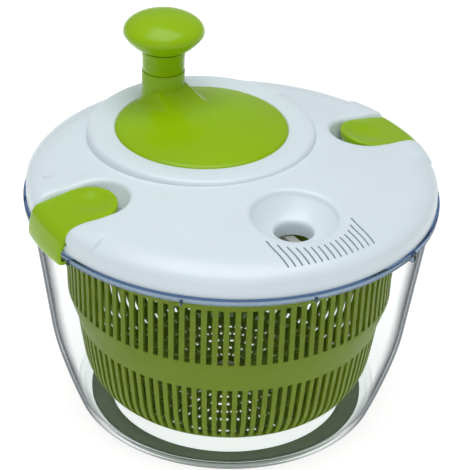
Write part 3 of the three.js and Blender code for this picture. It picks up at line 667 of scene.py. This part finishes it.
def slit_loops():
    loops = []
    half = SLIT_WIDTH / 2
    for i in range(SLIT_COUNT):
        x = (i - (SLIT_COUNT - 1) / 2) * SLIT_PITCH
        near = FUNNEL_Y - math.sqrt(SLIT_INNER_R ** 2 - x * x)
        far = -math.sqrt(SLIT_OUTER_R ** 2 - x * x)
        steps = 8
        right = [(x + half, far + (near - far) * k / steps) for k in range(steps + 1)]
        left = [(x - half, near + (far - near) * k / steps) for k in range(steps + 1)]
        tip = [(x, near + half * 0.8)]
        tail = [(x, far - half * 0.8)]
        loops.append([unrolled(*p) for p in right + tip + left + tail])
    return loops


def pocket_depths():
    """Rows down a latch pocket's wall: growth of the outline, share of depth, shift of the round end
    away from the lid's axis."""
    return [(1.3, 0.0, 0.0), (0.8, 0.012, 0.0), (0.3, 0.04, 0.0), (0.0, 0.1, 0.1), (0.0, 0.22, 0.9),
            (0.0, 0.38, 2.2), (0.0, 0.55, 3.8), (0.0, 0.72, 5.4), (0.0, 0.87, 6.8), (0.0, 1.0, 7.6)]


def lid_sheet(patch):
    """The unrolled top sheet, with holes for the plateau, the funnel, the slits and the latch pockets."""
    wide = pocket_depths()[0][0]
    side_lines = {}
    for side in (1, -1):
        plan = pocket_line(POCKET_HALF + wide, POCKET_ROUND_X, side, 122.0)
        line = [unrolled(*p) for p in plan]
        for end in (0, -1):
            reach = math.hypot(*line[end])
            line[end] = tuple(c * (DOME_R + SHOULDER_SPAN) / reach for c in line[end])
            down = [tuple(c * (DOME_R + SHOULDER_SPAN + WALL_SPAN * k / 3) / math.hypot(*line[end])
                          for c in line[end]) for k in (1, 2, 3)]
            line = (list(reversed(down)) + line) if end == 0 else (line + down)
        side_lines[side] = line
    start_angle = math.atan2(side_lines[1][-1][1], side_lines[1][-1][0])
    steps = 64
    rim = list(side_lines[1])
    for k in range(1, steps):
        a = mix(start_angle, math.pi - start_angle, k / steps)
        rim.append((SHEET_R * math.cos(a), SHEET_R * math.sin(a)))
    rim += side_lines[-1]
    for k in range(1, steps):
        a = mix(math.pi + start_angle, 2 * math.pi - start_angle, k / steps)
        rim.append((SHEET_R * math.cos(a), SHEET_R * math.sin(a)))

    plateau_base = [unrolled(*p) for p in circle((0, CRANK_Y), PLATEAU_R + 1.5, 144)]
    funnel_base = [unrolled(*p) for p in circle((0, FUNNEL_Y), FUNNEL_R + 1.8, 96)]
    slits = slit_loops()
    pitch = 4.0
    reach = int(DOME_R / pitch)
    points = [(pitch * i, pitch * j)
              for i in range(-reach, reach + 1) for j in range(-reach, reach + 1)
              if math.hypot(pitch * i, pitch * j) < DOME_R - 2.5]
    radii = [DOME_R + SHOULDER_SPAN * k / 14 for k in range(15)]
    radii += [DOME_R + SHOULDER_SPAN + WALL_SPAN * k / 3 for k in (1, 2)]
    for r in radii:
        points += circle((0, 0), r, 168)
    lines = []
    for base in (0, 180):
        for off in (-PAD_ANGLE - PAD_STEP, -PAD_ANGLE, PAD_ANGLE, PAD_ANGLE + PAD_STEP):
            a = math.radians(base + off)
            lines.append([(r * math.cos(a), r * math.sin(a)) for r in radii if DOME_R + 1 < r < SHEET_R - 1])
    flat, triangles = sheet(rim, [plateau_base, funnel_base] + slits, points, lines, 1.0)
    patch.add_sheet(flat, triangles, lid_point)


def lid_plateau(patch):
    """The ring round the crank disc and the well inside it."""
    steps = 144
    foot = circle((0, CRANK_Y), PLATEAU_R + 1.5, steps)
    heights = [lid_height(*p) for p in foot]
    rings = []
    for out, share in ((1.5, 0.0), (0.9, 0.04), (0.45, 0.15), (0.15, 0.35), (0.0, 0.6), (-0.2, 0.8),
                       (-0.6, 0.94), (-1.2, 1.0)):
        ring = circle((0, CRANK_Y), PLATEAU_R + out, steps)
        rings.append([(x, y, mix(h, PLATEAU_Z, share)) for (x, y), h in zip(ring, heights)])
    for radius, z in ((61, PLATEAU_Z), (55.3, PLATEAU_Z - 0.02), (54.75, PLATEAU_Z - 0.12),
                      (54.5, PLATEAU_Z - 0.45), (WELL_R, PLATEAU_Z - 0.9), (WELL_R, WELL_FLOOR),
                      (30, WELL_FLOOR), (6.2, WELL_FLOOR)):
        rings.append([(x, y, z) for x, y in circle((0, CRANK_Y), radius, steps)])
    patch.add_rings(rings)


def lid_funnel(patch):
    """The fill funnel: rounded lip, dished cone, then a short tube."""
    steps = 96
    foot = circle((0, FUNNEL_Y), FUNNEL_R + 1.8, steps)
    heights = [lid_height(*p) for p in foot]
    rings = []
    for out, drop in ((1.8, 0.0), (1.1, 0.1), (0.5, 0.4), (0.05, 0.95), (-0.4, 1.8)):
        ring = circle((0, FUNNEL_Y), FUNNEL_R + out, steps)
        rings.append([(x, y, h - drop) for (x, y), h in zip(ring, heights)])
    for share in (0.12, 0.25, 0.4, 0.55, 0.7, 0.85, 1.0):
        ring = circle((0, FUNNEL_Y), mix(FUNNEL_R - 0.4, FUNNEL_HOLE_R + 0.8, share), steps)
        sag = 1 - (1 - share) ** 1.25
        rings.append([(x, y, mix(h - 1.8, FUNNEL_THROAT_Z + 0.35, sag)) for (x, y), h in zip(ring, heights)])
    for radius, z in ((FUNNEL_HOLE_R + 0.3, FUNNEL_THROAT_Z + 0.15), (FUNNEL_HOLE_R, FUNNEL_THROAT_Z - 0.3),
                      (FUNNEL_HOLE_R - 0.1, FUNNEL_THROAT_Z - 2), (FUNNEL_HOLE_R - 0.3, FUNNEL_END_Z)):
        rings.append([(x, y, z) for x, y in circle((0, FUNNEL_Y), radius, steps)])
    patch.add_rings(rings)


def lid_pocket(patch, side):
    """One latch pocket: rounded rim, walls, a scooped inner end and a flat floor."""
    depths = pocket_depths()
    top = pocket_line(POCKET_HALF + depths[0][0], POCKET_ROUND_X, side, 122.0)
    heights = []
    for x, y in top:
        r = math.hypot(x, y)
        heights.append(lid_height(x, y) if r < LID_R - 0.01 else SHOULDER_Z)
    rings = []
    for out, share, shift in depths:
        line = pocket_line(POCKET_HALF + out, POCKET_ROUND_X + shift, side, 122.0)
        ring = []
        for (x, y), h in zip(line, heights):
            r = math.hypot(x, y)
            if r > LID_R:
                x, y = x * LID_R / r, y * LID_R / r
            ring.append((x, y, mix(h, POCKET_FLOOR, share)))
        rings.append(ring)
    patch.add_rings(rings, closed=False, cap=True)


def lid_sheet_ends(patch, side):
    """The lid's upright edge left standing under a pocket's floor."""
    reach = POCKET_HALF + pocket_depths()[0][0]
    steps = 12
    top, low = [], []
    for k in range(steps + 1):
        y = mix(-reach, reach, k / steps)
        x = side * math.sqrt(LID_R ** 2 - y * y)
        top.append((x, y, POCKET_FLOOR))
        low.append((x, y, LID_EDGE_Z))
    patch.add_rings([top, low], closed=False)


def build_lid():
    patch = Patch()
    lid_sheet(patch)
    lid_plateau(patch)
    lid_funnel(patch)
    for side in (1, -1):
        lid_pocket(patch, side)
        lid_sheet_ends(patch, side)
    shell = make("lid_shell", patch.verts, patch.faces, sharp=32)
    up = shell.data.polygons[0].normal.z
    thick = shell.modifiers.new("wall", "SOLIDIFY")
    thick.thickness = LID_WALL * 0.9 * MM
    thick.offset = -1.0 if up > 0 else 1.0
    apply_modifiers(shell, 32)
    spigot = turned("lid_spigot", [
        (116.4, 136.5), (116.9, 136), (118, 136), (118.4, 136.5), (118.4, 154.5), (116.4, 155)],
        steps=168, closed=True)
    post = turned("lid_post", [(1.5, 139.9), (2.6, 139.9), (2.6, 161.2), (1.5, 161.2)],
                  steps=32, closed=True)
    lid = joined("lid_shell", [shell, spigot, post])
    return finish_piece(lid, "lid", "white_plastic", white_gloss, "lid")


# ---- Crank and knob ------------------------------------------------------------------

def disc_dome(x, y):
    """Top of the crank disc without its ramp."""
    return CROWN_Z - (CROWN_Z - DOME_FOOT_Z) * (math.hypot(x, y - CRANK_Y) / DISC_DOME_R) ** 2


def ramp_place(x, y):
    """A plan point as distance from the knob axis towards the crank axis, and across that line."""
    toward = Vector((-KNOB_AT.x, CRANK_Y - KNOB_AT.y)) / KNOB_ORBIT
    from_knob = Vector((x - KNOB_AT.x, y - KNOB_AT.y))
    return from_knob.dot(toward), from_knob.dot(Vector((-toward.y, toward.x)))


def disc_height(x, y):
    """Top of the crank disc with the ramp that flares down from the knob's stub."""
    along, across = ramp_place(x, y)
    aside = abs(across) if along > 0 else math.hypot(along, across)
    crest = 9.4 * max(0.0, 1 - max(0.0, along - 5) / RAMP_LENGTH) ** 1.15
    if along < 0:
        crest *= 1 - 0.75 * smooth_step(-along / STUB_R)
    saddle = 9.5 * math.exp(-max(0.0, along - 10) / 7.0) * (1 - smooth_step((along - 24) / 12))
    edge = STUB_R - 0.6
    if aside > edge:
        lift = crest * math.exp(-(aside - edge) / 1.8)
    else:
        lift = mix(saddle, crest, (aside / edge) ** 3)
    return disc_dome(x, y) + lift


def build_crank():
    patch = Patch()
    outer = circle((0, CRANK_Y), DISC_DOME_R, 160)
    toward = Vector((-KNOB_AT.x, CRANK_Y - KNOB_AT.y)) / KNOB_ORBIT
    across = Vector((-toward.y, toward.x))
    pitch = 1.5
    grid = []
    for i in range(-10, 62):
        for j in range(-35, 36):
            place = Vector(KNOB_AT) + toward * (i * pitch) + across * (j * pitch)
            if math.dist(place, (0, CRANK_Y)) < DISC_DOME_R - 1.0:
                grid.append((place.x, place.y))
    flat, triangles = sheet(outer, [], grid, spare=0.9)
    patch.add_sheet(flat, triangles, lambda x, y: (x, y, disc_height(x, y)))

    rings = [[(x, y, disc_height(x, y)) for x, y in outer]]
    for radius, z in ((50.6, DOME_FOOT_Z - 0.2), (51.8, DOME_FOOT_Z - 0.55), (52.6, DOME_FOOT_Z - 1.1),
                      (53.15, DOME_FOOT_Z - 1.9), (DISC_R, DOME_FOOT_Z - 2.9),
                      (DISC_R, DISC_BOTTOM + 1.6), (DISC_R - 0.8, DISC_BOTTOM), (6, DISC_BOTTOM)):
        rings.append([(x, y, z) for x, y in circle((0, CRANK_Y), radius, 160)])
    patch.add_rings(rings, cap=True)
    disc = make("crank_disc_top", patch.verts, patch.faces, sharp=50)
    stub = turned("crank_stub", [
        (STUB_R, DISC_BOTTOM + 1), (STUB_R, STUB_TOP - 0.6), (STUB_R - 0.15, STUB_TOP - 0.2),
        (STUB_R - 0.5, STUB_TOP), (4.3, STUB_TOP), (4.3, DISC_BOTTOM + 1)],
        steps=96, at=KNOB_AT, closed=True)
    hub = turned("crank_hub", [
        (1.5, 155.4), (3.7, 155.4), (3.7, 159.3), (5.7, 159.3), (5.7, DISC_BOTTOM + 0.4),
        (1.5, DISC_BOTTOM + 0.4)], steps=32, at=(0, CRANK_Y), closed=True)
    crank = joined("crank_disc_top", [disc, stub, hub])
    return finish_piece(crank, "crank", "green_gloss", green_gloss, "crank_disc")


def build_knob():
    low = GRIP_LOW.z
    sleeve = [(4.3, low), (SLEEVE_R - 0.5, low), (SLEEVE_R - 0.15, low + 0.15), (SLEEVE_R, low + 0.5),
              (SLEEVE_R, 198), (SLEEVE_R + 0.15, 201), (SLEEVE_R + 0.5, 203.5), (SLEEVE_R + 0.9, 205.2),
              (SLEEVE_R + 0.85, 205.7), (SLEEVE_R + 0.5, 206.0), (SLEEVE_R - 0.3, KNOB_NECK + 0.1)]
    bell = bend((SLEEVE_R - 0.1, KNOB_NECK + 0.4), (KNOB_R - 5, KNOB_NECK + 3),
                (KNOB_R - 0.1, KNOB_WIDE - 1.2), 14)
    rim = [(KNOB_R, KNOB_WIDE - 0.3), (KNOB_R, KNOB_WIDE)]
    grip = turned("knob_lower", sleeve + bell + rim + [
        (KNOB_R - 2.4, KNOB_WIDE), (12, KNOB_NECK + 4), (4.3, KNOB_NECK + 4)],
        steps=96, at=KNOB_AT, closed=True, sharp=45)
    height = CAP_HIGH.z - KNOB_WIDE
    dome = [(KNOB_R * math.cos(math.pi * i / 48), KNOB_WIDE + height * math.sin(math.pi * i / 48))
            for i in range(25)]
    dome[-1] = (0, CAP_HIGH.z)
    cap = turned("knob_top", dome + [(0, CAP_HIGH.z - 2.2), (KNOB_R / 2, CAP_HIGH.z - 3.8),
                                     (KNOB_R - 2.4, KNOB_WIDE + 0.6), (KNOB_R - 2.4, KNOB_WIDE)],
                 steps=96, at=KNOB_AT, closed=True)
    finish_piece(grip, "knob", "green_gloss", green_gloss, "knob_grip")
    finish_piece(cap, "knob", "green_gloss", green_gloss, "knob_cap")


# ---- Latches -------------------------------------------------------------------------

def latch_top(x):
    return LATCH_EDGE_Z + (LATCH_EDGE_X - x) * LATCH_SLOPE


def latch_stations():
    """Pairs of an outer and an inner point (x, z) from the latch's tip to the end of its hook."""
    tip = LATCH_ROUND_X - LATCH_HALF
    plate = [LATCH_ROUND_X - LATCH_HALF * math.cos(math.pi * k / 32) for k in range(17)]
    plate += [mix(LATCH_ROUND_X, 119.0, k / 8) for k in range(1, 9)]
    pairs = []
    for x in plate:
        depth = mix(LATCH_TIP_DEPTH, LATCH_THICK, smooth_step((x - 84) / 30))
        pairs.append(((x, latch_top(x)), (max(x, tip), latch_top(x) - depth)))
    outer = bend((119.6, latch_top(119.6)), (124.7, latch_top(124.7)), (126.3, 150.8), 9)
    inner = bend((119.6, latch_top(119.6) - LATCH_THICK), (122.3, 154.0), (122.9, 150.4), 9)
    pairs += list(zip(outer, inner))
    pairs += [((127.0, 148.0), (124.2, 147.6)), ((127.6, 145.0), (126.1, 144.6)),
              ((127.9, 142.0), (126.1, 142.0)), ((127.95, 139.6), (126.1, 139.0)),
              ((127.7, 137.4), (126.0, 138.4)), ((127.2, 136.5), (125.6, 138.4)),
              ((126.4, 136.2), (125.0, 138.4)), ((123.6, 136.2), (123.6, 138.4)),
              ((123.3, 136.6), (123.3, 138.0))]
    return pairs


def latch_width(x):
    """Half width of the latch at a distance from the lid's axis."""
    return math.sqrt(max(0.0, LATCH_HALF ** 2 - max(0.0, LATCH_ROUND_X - x) ** 2))


def latch_point(x, z, share, outside):
    """A point of the latch's surface at a share of its half width; the skirt follows the bowl's curve."""
    y = latch_width(x) * share
    inset = LATCH_HALF - math.hypot(min(0.0, x - LATCH_ROUND_X), y)
    roll = 0.0
    if outside and inset < LATCH_ROLL:
        roll = LATCH_ROLL - math.sqrt(max(0.0, LATCH_ROLL ** 2 - (LATCH_ROLL - inset) ** 2))
    bow = smooth_step((x - 112) / 12) if z > 150 else 1.0
    curved = math.sqrt(x * x - y * y) if abs(y) < x else x
    x_bowed = mix(x, curved, bow)
    if z > latch_top(LATCH_EDGE_X):
        return (x_bowed, y, z - roll - (thumb(x, y) if outside else 0.0))
    return (x_bowed - roll * 0.8, y, z)


def build_latch(side):
    name = "right" if side > 0 else "left"
    across = 18
    shares = [math.sin(math.pi / 2 * (2 * k / across - 1)) for k in range(across + 1)]
    rings = []
    for (ox, oz), (ix, iz) in latch_stations():
        ring = [latch_point(ox, oz, s, True) for s in shares]
        ring += [latch_point(ix, iz, s, False) for s in reversed(shares)]
        rings.append(ring)
    patch = Patch()
    patch.add_rings(rings, cap=True)
    patch.faces.append(tuple(range(len(rings[0]))))
    latch = make(f"latch_{name}_body", patch.verts, patch.faces, sharp=48)
    steps, rings = 20, []
    for y in (-LATCH_HALF + 0.6, LATCH_HALF - 0.6):
        rings.append([(PIVOT_X + LATCH_BARREL_R * math.cos(2 * math.pi * i / steps), y,
                       PIVOT_Z + LATCH_BARREL_R * math.sin(2 * math.pi * i / steps)) for i in range(steps)])
    patch = Patch()
    patch.add_rings(rings, cap=True)
    patch.faces.append(tuple(range(steps)))
    barrel = make(f"latch_{name}_barrel", patch.verts, patch.faces)
    latch = joined(f"latch_{name}_body", [latch, barrel])
    if side < 0:
        latch.data.transform(Matrix.Rotation(math.pi, 4, "Z"))
    return finish_piece(latch, f"latch_{name}", "green_gloss", green_gloss, f"latch_{name}")


def thumb(x, y):
    """Depth of the shallow thumb dimple."""
    out = math.hypot(x - 93.0, y)
    return 1.9 * (1 - smooth_step((out - 3.0) / 10.5))


# ---- Stage ---------------------------------------------------------------------------

def build_stage():
    floor = bpy.data.meshes.new("floor")
    span = 6.0
    corners = [(-span, -span, 0), (span, -span, 0), (span, span, 0), (-span, span, 0)]
    floor.from_pydata(corners, [], [(0, 1, 2, 3)])
    obj = bpy.data.objects.new("floor", floor)
    bpy.context.scene.collection.objects.link(obj)
    paper = material("floor_paper", (0.35, 0.35, 0.35), 0.9, Specular_IOR_Level=0.1, Emission_Strength=0.86)
    paper.node_tree.nodes["Principled BSDF"].inputs["Emission Color"].default_value = (1.0, 1.0, 1.0, 1.0)
    obj.data.materials.append(paper)

    world = bpy.data.worlds.new("studio")
    world.use_nodes = True
    world.node_tree.nodes["Background"].inputs["Color"].default_value = (1.0, 1.0, 1.0, 1.0)
    world.node_tree.nodes["Background"].inputs["Strength"].default_value = 0.32
    bpy.context.scene.world = world
    scene = bpy.context.scene
    scene.view_settings.view_transform = "Standard"

    for name, place, size, power in (
            ("overhead", (-0.08, -0.05, 1.4), 1.15, 12.5), ("front", (-0.9, -1.6, 0.9), 0.9, 3.0)):
        light = bpy.data.lights.new(name, "AREA")
        light.size = size
        light.energy = power
        lamp = bpy.data.objects.new(name, light)
        lamp.location = place
        lamp.rotation_euler = (Vector((0, 0, 0.12)) - Vector(place)).to_track_quat("-Z", "Y").to_euler()
        scene.collection.objects.link(lamp)


def build_camera():
    """The camera stands in front and to the left, looking down, with a slight roll."""
    azimuth, elevation, roll = math.radians(-30.77), math.radians(30.74), math.radians(1.87)
    distance = 1.42101
    back = Vector((math.sin(azimuth) * math.cos(elevation),
                   -math.cos(azimuth) * math.cos(elevation), math.sin(elevation)))
    right = Vector((math.cos(azimuth), math.sin(azimuth), 0))
    up = back.cross(right)
    level_right = right * math.cos(roll) + up * math.sin(roll)
    level_up = up * math.cos(roll) - right * math.sin(roll)
    target = right * 0.00278 + Vector((0, 0, 0.11231))
    data = bpy.data.cameras.new("camera")
    data.sensor_width = 36.0
    data.lens = 178.02
    camera = bpy.data.objects.new("camera", data)
    turn = Matrix((level_right, level_up, back)).transposed()
    camera.matrix_world = Matrix.Translation(target + back * distance) @ turn.to_4x4()
    bpy.context.scene.collection.objects.link(camera)
    bpy.context.scene.camera = camera


build_camera()
build_stage()
build_bowl()
build_rim_blocks()
build_foot()
build_basket()
build_lid()
build_crank()
build_knob()
for which in (1, -1):
    build_latch(which)

for part in ("pivot_pin", "cover_screw_1", "cover_screw_2", "cover_screw_3", "cover_screw_4", "spider_screw",
             "crank_screw", "knob_pin", "latch_pin_left", "latch_pin_right", "latch_spring_left",
             "latch_spring_right"):
    repaint(part, steel)
for part in ("drive_pinion", "crank_gear", "crank_washer", "basket_bush"):
    repaint(part, natural)
repaint("gear_cover", white_gloss)
repaint("drive_spider", grey_satin)
